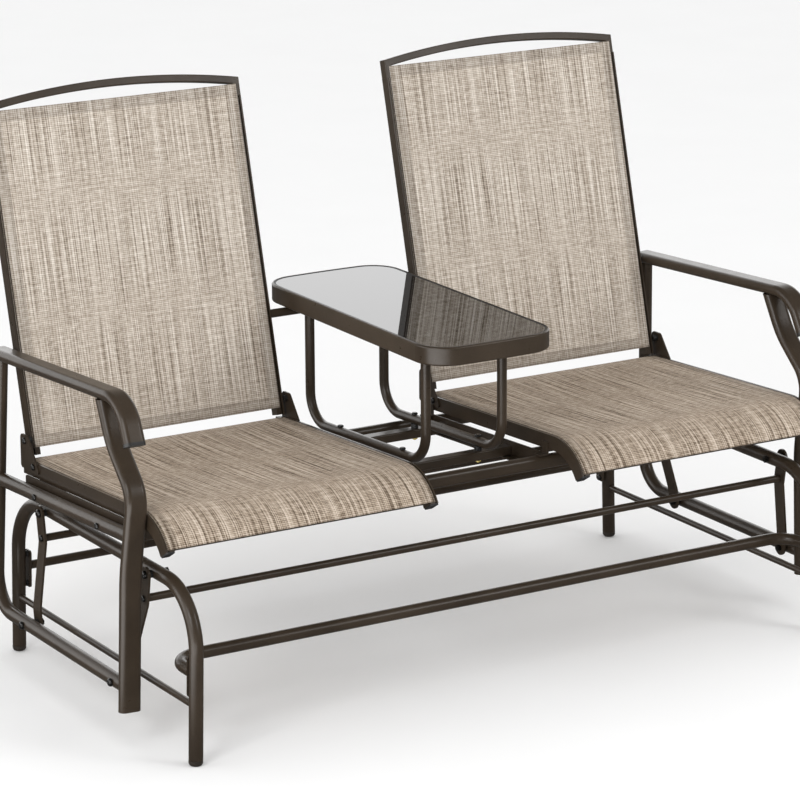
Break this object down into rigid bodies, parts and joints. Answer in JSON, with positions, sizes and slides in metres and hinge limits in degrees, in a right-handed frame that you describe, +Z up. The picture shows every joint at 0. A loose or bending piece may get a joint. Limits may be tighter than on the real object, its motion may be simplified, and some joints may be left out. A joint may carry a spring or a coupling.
{
  "type": "glider bench",
  "caption": "Outdoor glider bench with sling seats, armrests and a glass-topped middle table; the seat frame swings on links hung from the standing side frames.",
  "frame": {"origin": "on the floor, midway between the four feet", "axes": "+X along the bench to the sitter's left hand side, which is the right of a viewer in front; +Y from front to back; +Z up"},
  "size_m": [1.4688, 0.761, 1.0297],
  "materials": {
    "frame_paint": "satin powder coat, dark bronze brown",
    "table_paint": "satin powder coat, dark bronze brown",
    "seat_fabric": "woven coated mesh, beige and brown yarns",
    "back_fabric": "woven coated mesh, beige and brown yarns",
    "table_glass": "black tempered glass, polished",
    "black_plastic": "moulded black plastic",
    "bolt_steel": "dark coated steel"
  },
  "bodies": {
    "base": {"base_front_plates": "frame_paint", "base_front_tube": "frame_paint", "base_plate_bolts": "bolt_steel", "base_plate_spacers": "black_plastic", "base_rear_plates": "frame_paint", "base_rear_tube": "frame_paint", "base_side_frame_left": "frame_paint", "base_side_frame_right": "frame_paint", "base_stretchers": "frame_paint", "foot_caps": "black_plastic", "upper_pivot_bolts": "bolt_steel", "upper_pivot_bushes": "black_plastic"},
    "front_links": {"front_link_left": "frame_paint", "front_link_right": "frame_paint", "front_link_screws": "bolt_steel", "front_link_tube": "frame_paint"},
    "rear_links": {"rear_link_left": "frame_paint", "rear_link_right": "frame_paint", "rear_link_screws": "bolt_steel", "rear_link_tube": "frame_paint"},
    "swing_seat": {"arm_bolts": "bolt_steel", "arm_front_upright_left": "frame_paint", "arm_front_upright_right": "frame_paint", "arm_rear_post_left": "frame_paint", "arm_rear_post_right": "frame_paint", "arm_upper_rails": "frame_paint", "armrest_left": "frame_paint", "armrest_plugs": "black_plastic", "armrest_right": "frame_paint", "back_arch_left": "frame_paint", "back_arch_right": "frame_paint", "back_inner_rails": "frame_paint", "back_outer_rails": "frame_paint", "back_plate_bolts": "bolt_steel", "back_plate_spacers": "black_plastic", "back_plates": "frame_paint", "back_sling_left": "back_fabric", "back_sling_right": "back_fabric", "back_spreaders": "frame_paint", "front_member": "frame_paint", "inner_seat_rails": "frame_paint", "inner_strips": "frame_paint", "lower_pivot_bolts": "bolt_steel", "lower_pivot_bushes": "black_plastic", "outer_seat_rails": "frame_paint", "outer_strips": "frame_paint", "rail_brackets": "frame_paint", "rear_member": "frame_paint", "rear_tie_bar": "frame_paint", "seat_rail_caps": "black_plastic", "seat_sling_left": "seat_fabric", "seat_sling_right": "seat_fabric", "seat_spreaders": "frame_paint", "table_bars": "frame_paint", "table_bolts": "bolt_steel", "table_glass": "table_glass", "table_legs": "frame_paint", "table_rim": "table_paint", "table_spacers": "black_plastic", "table_support_bars": "frame_paint"}
  },
  "joints": [
    {"name": "front_links_swing", "type": "hinge", "parent": "base", "child": "front_links", "pos_m": [0, -0.206, 0.302], "axis": [1, 0, 0], "range_deg": [-12, 12]},
    {"name": "rear_links_swing", "type": "hinge", "parent": "base", "child": "rear_links", "pos_m": [0, 0.206, 0.302], "axis": [1, 0, 0], "range_deg": [-12, 12]},
    {"name": "seat_frame_tilt", "type": "hinge", "parent": "front_links", "child": "swing_seat", "pos_m": [0, -0.175, 0.11], "axis": [1, 0, 0], "range_deg": [-14.2, 14.2]}
  ],
  "couplings": [
    {"joint": "rear_links_swing", "follows": "front_links_swing", "ratio": 1},
    {"joint": "seat_frame_tilt", "follows": "front_links_swing", "ratio": -1.176}
  ]
}
